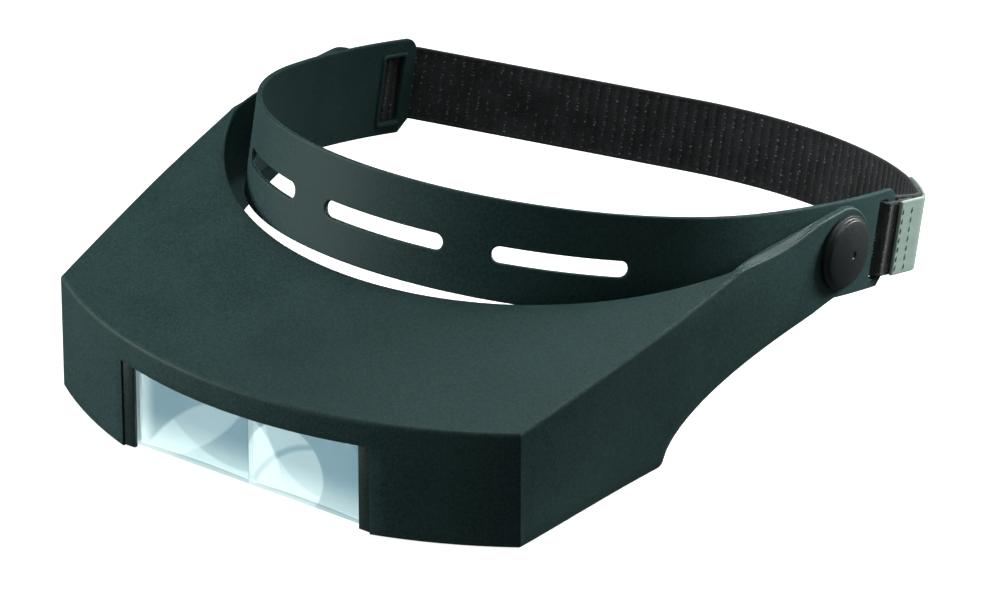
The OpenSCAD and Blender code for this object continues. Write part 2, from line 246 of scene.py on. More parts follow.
def woven():
    """Ribbed webbing: black yarn, ribs across the strap and pale specks painted as highlights on the rib
    crests.
    """
    mat, tree, shader = material("ribbed_webbing")
    strip = node(tree, "ShaderNodeAttribute", attribute_name="strip").outputs["Vector"]
    axes = node(tree, "ShaderNodeSeparateXYZ", {0: strip}).outputs
    where = node(tree, "ShaderNodeTexCoord").outputs["Object"]
    crest = node(tree, "ShaderNodeAttribute", attribute_name="edge").outputs["Fac"]
    yarn = calc(tree, "SINE", calc(tree, "MULTIPLY", axes[1], 2 * pi / 0.52))
    twist = calc(tree, "SINE", calc(tree, "MULTIPLY", calc(tree, "ADD", axes[0], axes[1]), 2 * pi / 0.36))
    cloud = noise(tree, where, 95, 3, 0.6)
    base = mix(tree, span(tree, cloud, 0.3, 0.7), (0.0190, 0.0230, 0.0240), (0.0420, 0.0490, 0.0500))
    stretched = node(tree, "ShaderNodeMapping", {"Vector": strip, "Scale": (0.9, 1.25, 1.0)}).outputs[0]
    cells = node(tree, "ShaderNodeTexVoronoi", {"Vector": stretched, "Scale": 1.0, "Randomness": 0.85})
    pick = noise(tree, strip, 0.9, 1, 0.5, 7.0)
    # Painted highlights: pale specks where the rib crests catch light
    crest_highlight = calc(tree, "MULTIPLY", span(tree, cells.outputs["Distance"], 0.50, 0.20),
                 span(tree, pick, 0.36, 0.60, 0.16, 1.0))
    crest_highlight = calc(tree, "MULTIPLY", crest_highlight, span(tree, crest, 0.30, 0.85, 0.05, 0.95))
    colour = mix(tree, crest_highlight, base, (0.36, 0.40, 0.40))
    fuzz = noise(tree, where, 2600, 3, 0.7, 2.0)
    colour = mix(tree, span(tree, fuzz, 0.56, 0.78, 0.0, 0.22), colour, (0.09, 0.10, 0.10))
    tree.links.new(colour, shader.inputs["Base Color"])
    tree.links.new(span(tree, fuzz, 0.3, 0.7, 0.68, 0.9), shader.inputs["Roughness"])
    shader.inputs["Specular IOR Level"].default_value = 0.35
    shader.inputs["Sheen Weight"].default_value = 0.25
    shader.inputs["Sheen Roughness"].default_value = 0.45
    relief = calc(tree, "ADD", calc(tree, "MULTIPLY", yarn, 0.35), calc(tree, "MULTIPLY", twist, 0.25))
    relief = calc(tree, "ADD", relief, calc(tree, "MULTIPLY", fuzz, 0.8))
    tree.links.new(bump(tree, relief, 0.55, 0.00012), shader.inputs["Normal"])
    return mat


def satin():
    """Smooth satin back of hook tape: close lengthwise yarns with a woven edge."""
    mat, tree, shader = material("satin_tape")
    strip = node(tree, "ShaderNodeAttribute", attribute_name="strip").outputs["Vector"]
    axes = node(tree, "ShaderNodeSeparateXYZ", {0: strip}).outputs
    where = node(tree, "ShaderNodeTexCoord").outputs["Object"]
    warp = calc(tree, "SINE", calc(tree, "MULTIPLY", axes[1], 2 * pi / 0.42))
    weft = calc(tree, "SINE", calc(tree, "MULTIPLY", axes[0], 2 * pi / 0.55))
    drawn = node(tree, "ShaderNodeMapping", {"Vector": strip, "Scale": (0.05, 1.4, 1.0)}).outputs[0]
    stripes = noise(tree, drawn, 1.0, 2)
    cloud = noise(tree, where, 70, 3, 0.6)
    tone = calc(tree, "ADD", calc(tree, "MULTIPLY", span(tree, stripes, 0.3, 0.7), 0.6),
                calc(tree, "MULTIPLY", span(tree, cloud, 0.3, 0.7), 0.4))
    colour = mix(tree, tone, (0.185, 0.315, 0.255), (0.30, 0.465, 0.39))
    selvage = span(tree, calc(tree, "ABSOLUTE", axes[1]), 11.3, 11.9)
    colour = mix(tree, calc(tree, "MULTIPLY", selvage, 0.5), colour, (0.36, 0.50, 0.43))
    fuzz = noise(tree, where, 2400, 2, 0.6, 3.0)
    colour = mix(tree, span(tree, fuzz, 0.55, 0.8, 0.0, 0.25), colour, (0.14, 0.22, 0.18))
    tree.links.new(colour, shader.inputs["Base Color"])
    tree.links.new(span(tree, stripes, 0.3, 0.7, 0.42, 0.58), shader.inputs["Roughness"])
    shader.inputs["Specular IOR Level"].default_value = 0.5
    shader.inputs["Sheen Weight"].default_value = 0.35
    relief = calc(tree, "ADD", calc(tree, "MULTIPLY", warp, 0.5), calc(tree, "MULTIPLY", weft, 0.25))
    relief = calc(tree, "ADD", relief, calc(tree, "MULTIPLY", fuzz, 0.5))
    tree.links.new(bump(tree, relief, 0.4, 0.0001), shader.inputs["Normal"])
    return mat


def thread(name, colour, light):
    """Twisted sewing thread."""
    mat, tree, shader = material(name)
    where = node(tree, "ShaderNodeTexCoord").outputs["Object"]
    turned = node(tree, "ShaderNodeMapping", {"Vector": where, "Rotation": (0.6, 0.0, 0.5)}).outputs[0]
    wave = {"Vector": turned, "Scale": 900.0, "Distortion": 1.5}
    ply = node(tree, "ShaderNodeTexWave", wave).outputs["Fac"]
    tree.links.new(mix(tree, ply, colour, light), shader.inputs["Base Color"])
    tree.links.new(span(tree, ply, 0.0, 1.0, 0.75, 0.55), shader.inputs["Roughness"])
    shader.inputs["Sheen Weight"].default_value = 0.2
    tree.links.new(bump(tree, ply, 0.5, 0.00008), shader.inputs["Normal"])
    return mat


def acrylic():
    """Clear moulded acrylic; its front face carries painted reflections, curved areas in blue-grey and
    pale tones, which also give off a little light as a painted glow so that they read through the clear body."""
    mat, tree, shader = material("lens_acrylic")
    where = node(tree, "ShaderNodeTexCoord").outputs["Object"]
    axes = node(tree, "ShaderNodeSeparateXYZ", {0: where}).outputs
    x = calc(tree, "MULTIPLY", axes[0], 1000.0)
    z = calc(tree, "MULTIPLY", axes[2], 1000.0)

    def inside(cx, cz, r, soft=0.7):
        dx = calc(tree, "SUBTRACT", x, cx)
        dz = calc(tree, "SUBTRACT", z, cz)
        square = calc(tree, "ADD", calc(tree, "MULTIPLY", dx, dx), calc(tree, "MULTIPLY", dz, dz))
        return span(tree, calc(tree, "SQRT", square), r + soft, r - soft)

    def times(*f):
        out = f[0]
        for g in f[1:]:
            out = calc(tree, "MULTIPLY", out, g)
        return out

    def less(f):
        return calc(tree, "SUBTRACT", 1.0, f)

    # Painted reflections and shade on the front face, cut from discs given as x, z and radius in mm
    left = span(tree, x, 0.1, -0.1)
    right = less(left)
    rise = inside(15.0, -34.5, 67.0)
    fall = inside(-5.0, 42.0, 37.0)
    sweep = inside(-61.0, 67.0, 72.0)
    lobe = inside(14.7, 11.3, 15.1, 0.5)
    crescent = times(inside(35.0, -14.3, 38.5), less(inside(35.6, -14.6, 37.2)))
    wedge = inside(-12.3, 4.3, 25.3)
    heart = less(inside(30.4, 29.1, 23.8))
    # Painted light: the lens is lighter towards its bottom edge
    low = span(tree, z, 17.0, 1.0)
    tone = calc(tree, "ADD", 0.22, calc(tree, "MULTIPLY", low, 0.44))
    for area, amount in (
        (times(left, rise, less(fall), less(sweep)), 0.20),
        (times(left, rise, less(fall), sweep), 0.34),
        (times(left, rise, fall, sweep), 0.21),
        (times(left, span(tree, x, -37.0, -43.5)), 0.45),
        (times(right, wedge), 0.31),
        (times(right, lobe), 0.27),
        (times(right, lobe, heart), 0.16),
    ):
        tone = calc(tree, "ADD", tone, calc(tree, "MULTIPLY", area, amount))
    tone = calc(tree, "ADD", tone, 0.0, True)
    # Painted shade: a darker crescent inside the right lens's lobe
    tone = calc(tree, "SUBTRACT", tone, calc(tree, "MULTIPLY", times(right, crescent, lobe), 0.22))
    colour = mix(tree, tone, (0.062, 0.185, 0.245), (0.76, 0.92, 0.92))
    y = calc(tree, "MULTIPLY", axes[1], 1000.0)
    front = span(tree, y, -18.7 - MID, -18.9 - MID)
    tint = mix(tree, 1.0, colour, colour, "MULTIPLY")
    tree.links.new(mix(tree, front, (0.97, 0.985, 0.985), tint), shader.inputs["Base Color"])
    # Painted glow: the front face gives off light in its painted colours, stronger near the bottom
    tree.links.new(colour, shader.inputs["Emission Color"])
    painted_glow = span(tree, z, 4.0, 1.5, 0.3, 0.7)
    tree.links.new(calc(tree, "MULTIPLY", front, painted_glow), shader.inputs["Emission Strength"])
    haze = noise(tree, where, 240, 3, 0.6)
    tree.links.new(span(tree, haze, 0.3, 0.8, 0.03, 0.09), shader.inputs["Roughness"])
    shader.inputs["Transmission Weight"].default_value = 0.75
    shader.inputs["IOR"].default_value = 1.49
    shader.inputs["Specular IOR Level"].default_value = 0.6
    shader.inputs["Coat Weight"].default_value = 0.3
    shader.inputs["Coat Roughness"].default_value = 0.02
    tree.links.new(bump(tree, noise(tree, where, 60, 2, 0.5, 6.0), 0.06, 0.0004), shader.inputs["Normal"])
    return mat


lens_mat = acrylic()


def dress(obj, mat, body, slot, *nodes):
    """Gives a piece its material and body and hides the CAD nodes that it replaces; slot is not used."""
    obj.data.materials.clear()
    obj.data.materials.append(mat)
    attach(obj, body)
    if nodes:
        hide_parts(*nodes)


# ---------------------------------------------------------------- visor
def plate_z(x, y):
    """Height of the top plate, sloped back and arched across."""
    return WALL_H + tan(SLOPE) * (y + BULGE) - ARCH * (x / CORNER_X) ** 2


def top_x(y):
    """Half width of the visor at its top edge."""
    return CORNER_X + SPREAD * (1 - exp(-max(0, min(y, FLAT_Y)) / SPREAD_Y)) / (1 - exp(-FLAT_Y / SPREAD_Y))


def lean(y, z):
    """How far the side wall leans in below the top edge."""
    return LEAN * sin(pi * max(0, min(y, FLAT_Y)) / FLAT_Y) * max(0.0, 1 - z / 50)


def low_z(y):
    """Height of the side wall's lower edge, which sweeps up into the arm."""
    if y <= RIM - 2:
        return 0.0
    if y <= RIM + 0.2:
        f = (y - RIM + 2) / 2.2
        return 2.1 * (1 - sqrt(max(0.0, 1 - f * f)))
    if y <= PIVOT_Y:
        f = (y - RIM) / (PIVOT_Y - RIM)
        return (PIVOT_Z - ARM_R - 1.7) * sqrt(1 - (1 - f) ** 2) + 1.7 * f**3
    return PIVOT_Z - sqrt(max(0.0, ARM_R**2 - (y - PIVOT_Y) ** 2))


MEET_Y = 100.0
MEET_X = top_x(MEET_Y) - WALL_T


def arm_z(y):
    """Height of the arm's upper edge, round the pivot at its end."""
    z0 = plate_z(MEET_X, MEET_Y)
    if y <= PIVOT_Y:
        f = (y - MEET_Y) / (PIVOT_Y - MEET_Y)
        return z0 + 1.9 * (1 - exp((MEET_Y - y) / 6)) + (PIVOT_Z + ARM_R - z0 - 1.9) * f * f
    return PIVOT_Z + sqrt(max(0.0, ARM_R**2 - (y - PIVOT_Y) ** 2))


def ridge(y):
    """Drop of the arm's outer edge below its inner one."""
    if y < MEET_Y:
        return 0.2
    return 0.2 + (2.4 * sin(pi * (y - MEET_Y) / (FLAT_Y + 4 - MEET_Y)) if y < FLAT_Y + 4 else 0.0)


# Heights of the rows of points up the walls, for a wall from FOOT to OUT_TOP outside or INN_TOP inside
INNER = [4, 10, 16, 22, 27, WINDOW_H, 33]
LEVELS = INNER + [36]
FOOT, OUT_TOP, INN_TOP = 0.55, 37.8, 35.9
# How far in the middle of a quarter circle of radius 1 lies
DIAGONAL = 0.293


def section(out, inn, lip, y_ref, front=False, arm=False):
    """One closed section of the shell, from the plan points of its outer wall, inner wall and lip.

    It runs from the rim up the outer wall, over the rounded edge and along the plate to the lip, then
    back under the plate and down the inner wall. Each point carries a mark for how far its edge is rubbed.
    """
    zf = low_z(y_ref) if not front else 0.0
    e = 1.1 if not arm else 0.7
    if arm:
        top = arm_z(y_ref) - ridge(y_ref)
        tall = arm_z(y_ref) - zf
    else:
        top = plate_z(*lerp(out, inn, e / WALL_T))
        tall = 30.0
    k = min(1.0, tall / 12)
    e, foot, r = e * k, FOOT * k, 0.5 * k
    bev = lerp(out, inn, e / WALL_T)
    ring = []

    def wall(f, z, mark=0.0):
        p = lerp(out, inn, f)
        shift = lean(p[1], z) * (0.0 if front else 1.0)
        ring.append((p[0] - shift, p[1], z, mark))

    wall(foot / WALL_T, zf, 0.8)
    wall(DIAGONAL * foot / WALL_T, zf + DIAGONAL * foot, 1.0)
    wall(0.0, zf + foot, 0.6)
    z0 = top - e if arm else min(plate_z(*out), top + 0.3) - e
    first, hold = zf + foot, z0 - 0.4 * k
    for level in LEVELS:
        if front and level <= WINDOW_H:
            wall(0.0, level)
        elif front:
            wall(0.0, WINDOW_H + (hold - WINDOW_H) * (level - WINDOW_H) / (OUT_TOP - WINDOW_H))
        else:
            wall(0.0, first + (hold - first) * (level - FOOT) / (OUT_TOP - FOOT))
    wall(0.0, hold, 0.0)
    for i in range(5):
        a = pi / 2 * i / 4
        p = lerp(out, bev, 1 - cos(a))
        z = z0 + (top - z0) * sin(a)
        ring.append((p[0] - (0 if front else lean(p[1], z)), p[1], z, 0.9))
    start = (ring[-1][0], ring[-1][1])
    length = max(0.2, sqrt((lip[0] - start[0]) ** 2 + (lip[1] - start[1]) ** 2))
    r = min(r, 0.4 * length)
    z_lip = arm_z(y_ref) if arm else plate_z(*lip)
    shares = [min(0.3, 0.4 / length)] + [f / 12 for f in range(1, 12)]
    shares = sorted(min(f, 1 - 1.4 * r / length) for f in shares)
    for i in range(1, 12):
        shares[i] = max(shares[i], shares[i - 1] + 0.01)
    scale = min(1.0, (1 - 1.2 * r / length) / shares[-1])
    for f in shares:
        f *= scale
        p = lerp(start, lip, f)
        z = top + (z_lip - top) * f if arm else plate_z(*p)
        ring.append((p[0], p[1], z, 0.0))
    away = (lip[0] - start[0], lip[1] - start[1])
    size = sqrt(away[0] ** 2 + away[1] ** 2) or 1.0
    away = (away[0] / size, away[1] / size)
    under = 0.9 * k if arm else WALL_T
    for back, drop in ((r, 0.0), (DIAGONAL * r, DIAGONAL * r), (0.0, r)):
        ring.append((lip[0] - away[0] * back, lip[1] - away[1] * back, z_lip - drop, 0.9))
    if arm:
        for i in range(3):
            ring.append((lip[0], lip[1], z_lip - r - (i + 1) * 0.25 * k, 0.3))
    else:
        for back, drop in ((0.0, under - r), (DIAGONAL * r, under - DIAGONAL * r), (r, under)):
            ring.append((lip[0] - away[0] * back, lip[1] - away[1] * back, z_lip - drop, 0.5))
    z_in = (z_lip - 4.0 * k) if arm else plate_z(*inn) - WALL_T - 1.1
    for i in range(8):
        if arm:
            ring.append((lip[0], lip[1], z_lip - r - (0.75 + 0.3 * (i + 1)) * k, 0.0))
        else:
            back = lerp(lip, inn, (i + 1) / 9 * max(0.3, 1 - 1.0 / max(1.2, length)))
            ring.append((back[0], back[1], plate_z(*back) - WALL_T, 0.0))
    if arm:
        ring.append((lip[0], lip[1], z_lip - r - 3.35 * k, 0.0))
    else:
        near = lerp(inn, lip, min(0.25, 0.3 / max(0.3, length)))
        ring.append((near[0], near[1], plate_z(*near) - WALL_T - 0.35, 0.0))
    wall(1.0, z_in, 0.0)
    for level in reversed(INNER):
        if front and level <= WINDOW_H:
            wall(1.0, level)
        elif front:
            wall(1.0, WINDOW_H + (z_in - WINDOW_H) * (level - WINDOW_H) / (INN_TOP - WINDOW_H))
        else:
            wall(1.0, first + (z_in - first) * (level - FOOT) / (INN_TOP - FOOT))
    wall(1.0, zf + foot, 0.6)
    wall(1 - DIAGONAL * foot / WALL_T, zf + DIAGONAL * foot, 1.0)
    wall(1 - foot / WALL_T, zf, 0.8)
    return ring


def build_visor():
    n1 = (CORNER_X / FRONT_R, -ARC_C / FRONT_R)
    slope = SPREAD / SPREAD_Y / (1 - exp(-FLAT_Y / SPREAD_Y))
    n2 = (1 / sqrt(1 + slope**2), -slope / sqrt(1 + slope**2))
    f = 1 + n1[0] * n2[0] + n1[1] * n2[1]
    mitre = ((n1[0] + n2[0]) / f, (n1[1] + n2[1]) / f)
    inner = (CORNER_X - WALL_T * mitre[0], -WALL_T * mitre[1])
    b0, b1 = radians(40), asin(MEET_X / OPEN_R)

    def lip_at(b):
        return (OPEN_R * sin(b), OPEN_C - OPEN_R * cos(b))

    def on_arc(x, r):
        return (x, ARC_C - sqrt(r * r - x * x))

    rows = []
    round_r, round_i = 1.2, 0.5
    centre = (CORNER_X - round_r * mitre[0], -round_r * mitre[1])
    centre_i = (inner[0] - round_i * mitre[0], inner[1] - round_i * mitre[1])
    last = centre[0] + round_r * n1[0]
    last_i = centre_i[0] + round_i * n1[0]
    xs = [5.5 * i for i in range(10)] + [WINDOW_X + (last - WINDOW_X) * i / 8 for i in range(1, 9)]
    for x in xs:
        xi = x if x <= WINDOW_X else WINDOW_X + (last_i - WINDOW_X) * (x - WINDOW_X) / (last - WINDOW_X)
        out, inn = on_arc(x, FRONT_R), on_arc(xi, FRONT_R - WALL_T)
        rows.append((x, section(out, inn, lip_at(b0 * x / CORNER_X), 0.0, True)))
    a1, a2 = atan2(n1[1], n1[0]), atan2(n2[1], n2[0])
    for i in range(1, 5):
        a = a1 + (a2 - a1) * i / 5
        out = (centre[0] + round_r * cos(a), centre[1] + round_r * sin(a))
        inn = (centre_i[0] + round_i * cos(a), centre_i[1] + round_i * sin(a))
        rows.append((out[0], section(out, inn, lip_at(b0 * (0.996 + 0.0015 * i)), 0.0, True)))
    ys = [0.55, 2.5] + [6 + 6.2 * i for i in range(10)] + [65.5, 68.4, 69.0, 69.6, 70.1, 70.45, 70.7]
    ys += [70.95, 71.4, 72.2, 73.4, 75, 77.5, 80.5, 84, 88, 92, 96, 99.4]
    for y in ys:
        x = top_x(y)
        rows.append((x, section((x, y), (x - WALL_T, y), lip_at(b0 + (b1 - b0) * y / MEET_Y), y)))
    ys = [100.6, 102.5, 105.5, 110, 115, 120, 125, 130, 135, 139, 143, 147, 151]
    ys += [PIVOT_Y + ARM_R * sin(radians(a)) for a in list(range(0, 80, 7)) + [80, 84]]
    for y in ys:
        x = top_x(y)
        rows.append((x, section((x, y), (x - WALL_T, y), (x - WALL_T, y), y, arm=True)))
    rows = [(-x, [(-p[0], *p[1:]) for p in s]) for x, s in reversed(rows[1:])] + rows
    ring = len(rows[0][1])
    assert all(len(s) == ring for _, s in rows)
    points = [p[:3] for _, s in rows for p in s]
    marks = [p[3] for _, s in rows for p in s]
    # Places in a section of the outer and inner wall at the window's height
    out_top = 2 + 1 + LEVELS.index(WINDOW_H)
    inn_top = ring - 3 - 1 - INNER.index(WINDOW_H)
    window = [i for i, (x, s) in enumerate(rows) if abs(x) <= WINDOW_X + 0.01 and s[0][1] < 0]
    lo, hi = window[0], window[-1]
    faces = []
    for i in range(len(rows) - 1):
        for j in range(ring):
            m = (j + 1) % ring
            if lo <= i < hi and (j < out_top or j >= inn_top):
                continue
            faces.append((i * ring + j, i * ring + m, (i + 1) * ring + m, (i + 1) * ring + j))
    for i in range(lo, hi):
        a, b = i * ring, (i + 1) * ring
        faces.append((a + out_top, b + out_top, b + inn_top, a + inn_top))
    for i in (lo, hi):
        a = i * ring
        for k in range(6):
            faces.append((a + out_top - k, a + out_top - k - 1, a + inn_top + k + 1, a + inn_top + k))
        faces.append((a + 2, a + 1, a, a + ring - 1, a + ring - 2, a + ring - 3))
    faces.append(tuple(range(ring)))
    faces.append(tuple((len(rows) - 1) * ring + j for j in range(ring)))
    obj = make("visor", points, faces, marks=marks)
    # Soft edge round the window
    bm = bmesh.new()
    bm.from_mesh(obj.data)
    rim = []
    for e in bm.edges:
        if len(e.link_faces) != 2 or e.calc_face_angle(0) < radians(60):
            continue
        c = [(v.co.x * 1000, v.co.y * 1000 + MID, v.co.z * 1000) for v in e.verts]
        level = all(abs(p[2] - WINDOW_H) < 0.05 and abs(p[0]) < WINDOW_X + 0.1 and p[1] < 0 for p in c)
        upright = all(abs(abs(p[0]) - WINDOW_X) < 0.02 and p[2] < WINDOW_H + 0.05 and p[1] < 0 for p in c)
        if level or (upright and abs(c[0][2] - c[1][2]) > 0.3):
            rim.append(e)
    round_edges(bm, rim, 0.4)
    bm.to_mesh(obj.data)
    bm.free()
    for side in (-1, 1):
        hole = lathe("hole", [(0.001, 96.0), (5.06, 96.0), (5.06, 110.0), (0.001, 110.0)], side, 64)
        bmesh_close(hole)
        boolean(obj, hole, "DIFFERENCE")
    smooth(obj, 48)
    return obj


def bmesh_close(obj):
    """Merges the points that meet on an axis and closes what is left open."""
    bm = bmesh.new()
    bm.from_mesh(obj.data)
    bmesh.ops.remove_doubles(bm, verts=bm.verts[:], dist=0.00001)
    bmesh.ops.holes_fill(bm, edges=bm.edges[:], sides=0)
    bmesh.ops.recalc_face_normals(bm, faces=bm.faces[:])
    bm.to_mesh(obj.data)
    bm.free()


visor = build_visor()
dress(visor, shell_mat, "visor", "shell_plastic", "visor_shell")


# ---------------------------------------------------------------- flat patterns with openings
def loop_points(loop, inset):
    """A closed flat loop drawn in to its left by inset."""
    n = len(loop)
    out = []
    for i in range(n):
        a, b, c = loop[i - 1], loop[i], loop[(i + 1) % n]
        u = np.array(b) - a
        v = np.array(c) - b
        u, v = u / np.linalg.norm(u), v / np.linalg.norm(v)
        nu, nv = np.array([-u[1], u[0]]), np.array([-v[1], v[0]])
        m = (nu + nv) / max(0.35, 1 + float(nu @ nv))
        out.append(tuple(np.array(b) + m * inset))
    return out


def inside_loop(p, loop):
    hit = False
    for (x0, y0), (x1, y1) in zip(loop, loop[1:] + loop[:1]):
        if (y0 > p[1]) != (y1 > p[1]) and p[0] < (x1 - x0) * (p[1] - y0) / (y1 - y0) + x0:
            hit = not hit
    return hit


def cut_sheet(name, outline, holes, mapper, thick, radius, step):
    """A sheet cut to outline (anticlockwise) with holes (clockwise), bent by mapper(s, w, depth)."""
    loops = [outline] + holes
    rings = [(0.0, radius), (DIAGONAL * radius, DIAGONAL * radius), (radius, 0.0)]
    rings += [(thick - d, i) for d, i in reversed(rings)]
    points, marks, faces = [], [], []
    face_loops = []
    for loop in loops:
        sets = [[len(points) + i * len(loop) + k for k in range(len(loop))] for i in range(len(rings))]
        for depth, inset in rings:
            points += [mapper(s, w, depth) for s, w in loop_points(loop, inset)]
            marks += [0.85] * len(loop)
        for r0, r1 in zip(sets, sets[1:]):
            for k in range(len(loop)):
                m = (k + 1) % len(loop)
                faces.append((r0[k], r0[m], r1[m], r1[k]))
        face_loops.append((sets[0], sets[-1]))
    edge_loops = [loop_points(l, radius) for l in loops]
    holds = [loop_points(l, radius + 0.35) for l in loops]
    flat = [p for l in edge_loops for p in l]
    cuts, at = [], 0
    for l in edge_loops + holds:
        cuts += [(at + k, at + (k + 1) % len(l)) for k in range(len(l))]
        at += len(l)
    hold_points = [p for l in holds for p in l]
    near = np.array([lerp(a, b, f) for l in holds for a, b in zip(l, l[1:] + l[:1])
                     for f in np.linspace(0, 1, max(2, ceil(gap(a, b) / 0.8)), endpoint=False)])
    lo, hi = np.min(outline, axis=0), np.max(outline, axis=0)
    grid = []
    for s in np.arange(lo[0] + step / 2, hi[0], step):
        for w in np.arange(lo[1] + step / 2, hi[1], step):
            if not inside_loop((s, w), holds[0]) or any(inside_loop((s, w), h) for h in holds[1:]):
                continue
            if np.min(np.hypot(near[:, 0] - s, near[:, 1] - w)) > 0.55 * step:
                grid.append((s, w))
    every = flat + hold_points + grid
    verts, _, tris, origin, _, _ = geometry.delaunay_2d_cdt([Vector(p) for p in every], cuts, [], 0, 1e-5)
    source = [o[0] if o else None for o in origin]
    outer_ids = [i for a, _ in face_loops for i in a]
    inner_ids = [i for _, b in face_loops for i in b]
    for depth, ids in ((0.0, outer_ids), (thick, inner_ids)):
        where = {}
        for v, o in enumerate(source):
            if o is not None and o < len(flat):
                where[v] = ids[o]
            else:
                where[v] = len(points)
                points.append(mapper(verts[v][0], verts[v][1], depth))
                marks.append(0.0)
        for tri in tris:
            c = sum((verts[v] for v in tri), Vector((0, 0))) / len(tri)
            if inside_loop(c, edge_loops[0]) and not any(inside_loop(c, h) for h in edge_loops[1:]):
                t = [where[v] for v in tri]
                faces.append(t if depth == 0.0 else t[::-1])
    return make(name, points, faces, marks=marks, angle=60)


# ---------------------------------------------------------------- headband
FOREHEAD_R, SIDE_R, BAND_T, BAND_C, END_Y = 97.5, 260.0, 1.8, -2.5, 53.0
SIDE_C = 100.2 - SIDE_R
SIDE_Y = BAND_C + sqrt((SIDE_R - FOREHEAD_R) ** 2 - SIDE_C**2)
JOIN_A = asin((BAND_C - SIDE_Y) / (SIDE_R - FOREHEAD_R))
JOIN_S = FOREHEAD_R * (pi / 2 + JOIN_A)


def plan(s, depth):
    """Point of the band's plan at length s round the outside from the middle of the forehead."""
    side = 1 if s >= 0 else -1
    s = abs(s)
    if s <= JOIN_S:
        a, r = s / FOREHEAD_R, FOREHEAD_R - depth
        return side * r * sin(a), BAND_C - r * cos(a)
    a, r = JOIN_A + (s - JOIN_S) / SIDE_R, SIDE_R - depth
    return side * (SIDE_C + r * cos(a)), SIDE_Y + r * sin(a)


def length_at(y):
    """Length round the outside of the band at a place on its side."""
    return JOIN_S + SIDE_R * (asin((y - SIDE_Y) / SIDE_R) - JOIN_A)


def band_map(s, w, depth):
    x, y = plan(s, depth)
    return band_point(x, y, w)


def dense(points, step):
    """A closed loop with points added at about this step."""
    out = []
    for a, b in zip(points, points[1:] + points[:1]):
        n = max(1, ceil(gap(a, b) / step))
        out += [lerp(a, b, i / n) for i in range(n)]
    return out


def arc_points(c, r, a0, a1, n):
    turns = [radians(a0 + (a1 - a0) * i / n) for i in range(n + 1)]
    return [(c[0] + r * cos(a), c[1] + r * sin(a)) for a in turns]


def slot_loop(s0, s1, w, r):
    """A slot with round ends, clockwise."""
    loop = arc_points((s1, w), r, -90, 90, 12) + arc_points((s0, w), r, 90, 270, 12)
    return dense(loop, 2.5)[::-1]


def box_loop(s0, s1, w0, w1, r):
    loop = arc_points((s0 + r, w0 + r), r, 180, 270, 4) + arc_points((s1 - r, w0 + r), r, 270, 360, 4)
    loop += arc_points((s1 - r, w1 - r), r, 0, 90, 4) + arc_points((s0 + r, w1 - r), r, 90, 180, 4)
    return dense(loop, 2.0)[::-1]


def build_band():
    end = length_at(END_Y)
    b = length_at(47.5)
    # Strap openings by side: front end, lower and upper edge; both end at length b
    openings = {1: (length_at(42.5), -13.2, 13.2), -1: (length_at(37.0), -12.1, 10.7)}
    outline = [(-end, -12), (-end + 4.5, -16.5), (end - 4.5, -16.5), (end, -12)]
    outline += arc_points((end - 5, 11.5), 5, 0, 90, 8) + arc_points((-end + 5, 11.5), 5, 90, 180, 8)
    # Forehead slots, each between the centres of its round ends in degrees round the forehead
    holes = [slot_loop(FOREHEAD_R * radians(p), FOREHEAD_R * radians(q), -1.3, 2.75)
             for p, q in ((-9.3, 14.5), (27.2, 49.8), (-44.6, -22.0))]
    for side, (a, w0, w1) in openings.items():
        holes.append(box_loop(a, b, w0, w1, 0.8) if side > 0 else box_loop(-b, -a, w0, w1, 0.8))
    obj = cut_sheet("headband", dense(outline, 2.5), holes, band_map, BAND_T, 0.4, 2.6)
    for side in (-1, 1):
        # Boss and hollow stub of the pivot
        a, w0, w1 = openings[side]
        profile = [(11.4, 99.25), (11.4, 100.9), (11.32, 101.12), (11.1, 101.2), (5.4, 101.2), (5.1, 101.28)]
        profile += [(5.0, 101.5), (5.0, 104.3), (4.9, 104.52), (4.7, 104.6), (2.8, 104.6), (2.58, 104.52)]
        profile += [(2.5, 104.3), (2.5, 99.25)]
        boss = lathe("boss", profile, side, 72, marks=[0, 0, 1, 0, 0, 0, 0, 0, 1, 0, 0, 1, 0, 0])
        boolean(obj, boss, "UNION")
        # Low lip on three sides of the strap opening, inside the band
        path = [(b, w1 + 0.75), (a - 0.2, w1 + 0.75), (a - 0.75, w1 + 0.2),
                (a - 0.75, w0 - 0.2), (a - 0.2, w0 - 0.75), (b, w0 - 0.75)]
        profile = [(-0.6, BAND_T - 0.3), (0.6, BAND_T - 0.3), (0.6, BAND_T + 0.5), (0.35, BAND_T + 0.8),
                   (-0.35, BAND_T + 0.8), (-0.6, BAND_T + 0.5)]
        line = []
        for p, q in zip(path, path[1:]):
            n = max(1, ceil(gap(p, q) / 2.5))
            line += [lerp(p, q, i / n) for i in range(n)]
        line.append(path[-1])
        pts, flags, faces = [], [], []
        for i, p in enumerate(line):
            u = np.array(line[min(i + 1, len(line) - 1)]) - line[max(i - 1, 0)]
            u = u / np.linalg.norm(u)
            for across, depth in profile:
                q = (p[0] - u[1] * across, p[1] + u[0] * across)
                pts.append(band_map(side * q[0], q[1], depth))
                flags.append(0.8 if depth > BAND_T + 0.6 else 0.2)
        n = len(profile)
        for i in range(len(line) - 1):
            faces += [(i * n + k, i * n + (k + 1) % n, (i + 1) * n + (k + 1) % n, (i + 1) * n + k)
                      for k in range(n)]
        faces += [tuple(range(n)), tuple(len(pts) - n + k for k in range(n))]
        boolean(obj, make("lip", pts, faces, marks=flags), "UNION")
    smooth(obj, 40)
    return obj


band = build_band()
dress(band, band_mat, "headband", "band_plastic", "headband")

